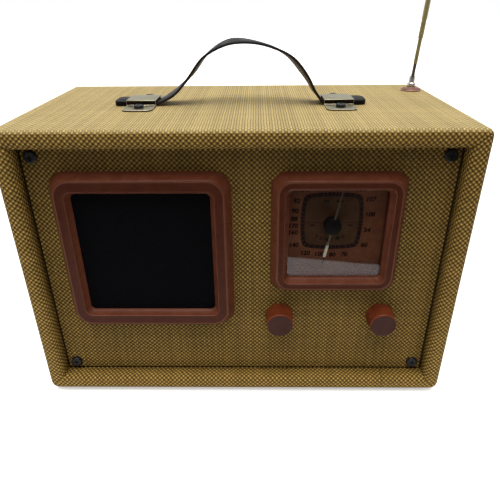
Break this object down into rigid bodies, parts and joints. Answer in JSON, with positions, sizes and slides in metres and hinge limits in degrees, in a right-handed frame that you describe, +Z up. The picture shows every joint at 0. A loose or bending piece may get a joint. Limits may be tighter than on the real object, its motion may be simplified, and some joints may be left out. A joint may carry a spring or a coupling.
{
  "type": "tabletop radio",
  "caption": "Portable tabletop radio in a cloth-covered wooden case, with square speaker and dial bezels, two knobs, a strap handle and a telescopic aerial.",
  "frame": {"origin": "on the resting surface under the rubber feet, midway between the sides and between the front lip and the rear edge", "axes": "+X to the radio's right as seen from the front, +Y to its back, +Z up"},
  "size_m": [0.305, 0.1625, 0.3816],
  "materials": {
    "tweed": "woven",
    "baffle_tweed": "woven",
    "plywood": "sawn",
    "hardboard": "painted",
    "bezel_plastic": "moulded satin",
    "knob_plastic": "moulded gloss",
    "black_cloth": "woven",
    "window": "clear",
    "dial_metal": "printed satin",
    "pointer_brass": "satin",
    "black_plastic": "moulded",
    "nylon": "moulded",
    "cord": "braided",
    "zinc_steel": "plated",
    "grey_steel": "plated",
    "ferrite": "fired",
    "copper_wire": "enamelled",
    "circuit_board": "laminate",
    "aluminium_can": "satin",
    "paper_cone": "pressed",
    "cell_jacket": "printed",
    "strap_leather": "pebbled",
    "cap_nickel": "worn nickel",
    "black_steel": "blackened",
    "rubber": "matt",
    "antenna_base": "moulded",
    "chrome": "polished",
    "dark_link": "dulled",
    "antenna_brass": "dulled"
  },
  "bodies": {
    "cabinet": {"tweed_covering": "tweed", "baffle_covering": "baffle_tweed", "top_board": "plywood", "bottom_board": "plywood", "side_boards": "plywood", "baffle_board": "plywood", "panel_cleats": "plywood", "baffle_screws": "black_steel", "rubber_feet": "rubber", "rear_panel": "hardboard", "rear_screws": "black_steel", "speaker_bezel": "bezel_plastic", "grille_cloth": "black_cloth", "grille_board": "hardboard", "speaker_basket": "grey_steel", "speaker_magnet": "zinc_steel", "speaker_cone": "paper_cone", "speaker_screws": "zinc_steel", "speaker_leads": "black_plastic", "dial_bezel": "bezel_plastic", "dial_window": "window", "dial_plate": "dial_metal", "dial_cord": "cord", "tuning_capacitor": "nylon", "spindle_bushing": "pointer_brass", "volume_control": "grey_steel", "chassis_plate": "zinc_steel", "circuit_board": "circuit_board", "if_cans": "aluminium_can", "ferrite_rod": "ferrite", "ferrite_coil": "copper_wire", "rod_brackets": "nylon", "battery_box": "black_plastic", "battery_cells": "cell_jacket", "battery_springs": "zinc_steel", "band_switch_body": "grey_steel", "dc_jack": "black_plastic", "earphone_jack": "black_plastic", "handle_strap": "strap_leather", "handle_caps": "cap_nickel", "cap_screws": "black_steel", "antenna_base": "antenna_base"},
    "tuning_knob": {"tuning_knob": "knob_plastic", "tuning_spindle": "zinc_steel"},
    "dial_pointer": {"dial_pointer": "pointer_brass", "pointer_hub": "black_plastic", "dial_drum": "nylon", "capacitor_shaft": "zinc_steel"},
    "volume_knob": {"volume_knob": "knob_plastic", "volume_shaft": "zinc_steel"},
    "band_switch_slider": {"band_switch_slider": "black_plastic"},
    "battery_door": {"battery_door": "black_plastic"},
    "strap_end_left": {"strap_end_left": "strap_leather"},
    "strap_end_right": {"strap_end_right": "strap_leather"},
    "antenna_swivel": {"antenna_swivel": "chrome", "antenna_nut": "zinc_steel"},
    "antenna_mast": {"antenna_link": "dark_link", "antenna_tube": "antenna_brass"},
    "antenna_sleeve": {"antenna_sleeve": "antenna_brass"},
    "antenna_rod": {"antenna_rod": "chrome"}
  },
  "joints": [
    {"name": "tuning_turn", "type": "hinge", "parent": "cabinet", "child": "tuning_knob", "pos_m": [0.102, -0.075, 0.067], "axis": [0, -1, 0], "range_deg": [-463, 592]},
    {"name": "pointer_turn", "type": "hinge", "parent": "cabinet", "child": "dial_pointer", "pos_m": [0.0624, -0.0526, 0.1388], "axis": [0, -1, 0], "range_deg": [-79, 101]},
    {"name": "volume_turn", "type": "hinge", "parent": "cabinet", "child": "volume_knob", "pos_m": [0.0275, -0.075, 0.067], "axis": [0, -1, 0], "range_deg": [-140, 140]},
    {"name": "band_slide", "type": "slide", "parent": "cabinet", "child": "band_switch_slider", "axis": [1, 0, 0], "range_m": [0, 0.0068]},
    {"name": "battery_door_hinge", "type": "hinge", "parent": "cabinet", "child": "battery_door", "pos_m": [0, 0.0725, 0.019], "axis": [-1, 0, 0], "range_deg": [0, 90]},
    {"name": "strap_slide_left", "type": "slide", "parent": "cabinet", "child": "strap_end_left", "axis": [-1, 0, 0], "range_m": [0, 0.014], "deforming": ["handle_strap"]},
    {"name": "strap_slide_right", "type": "slide", "parent": "cabinet", "child": "strap_end_right", "axis": [1, 0, 0], "range_m": [0, 0.014]},
    {"name": "antenna_swivel_turn", "type": "hinge", "parent": "cabinet", "child": "antenna_swivel", "pos_m": [0.1374, 0.049, 0.21], "axis": [0, 0, 1], "continuous": true},
    {"name": "antenna_tilt", "type": "hinge", "parent": "antenna_swivel", "child": "antenna_mast", "pos_m": [0.1374, 0.049, 0.2168], "axis": [0, 1, 0], "range_deg": [-3.6, 86.4]},
    {"name": "antenna_sleeve_slide", "type": "slide", "parent": "antenna_mast", "child": "antenna_sleeve", "axis": [0.0628, 0, 0.998], "range_m": [0, 0.112]},
    {"name": "antenna_rod_slide", "type": "slide", "parent": "antenna_sleeve", "child": "antenna_rod", "axis": [0.0628, 0, 0.998], "range_m": [0, 0.11]}
  ],
  "couplings": [
    {"joint": "pointer_turn", "follows": "tuning_turn", "ratio": 0.17057},
    {"joint": "strap_slide_right", "follows": "strap_slide_left", "ratio": 1}
  ]
}
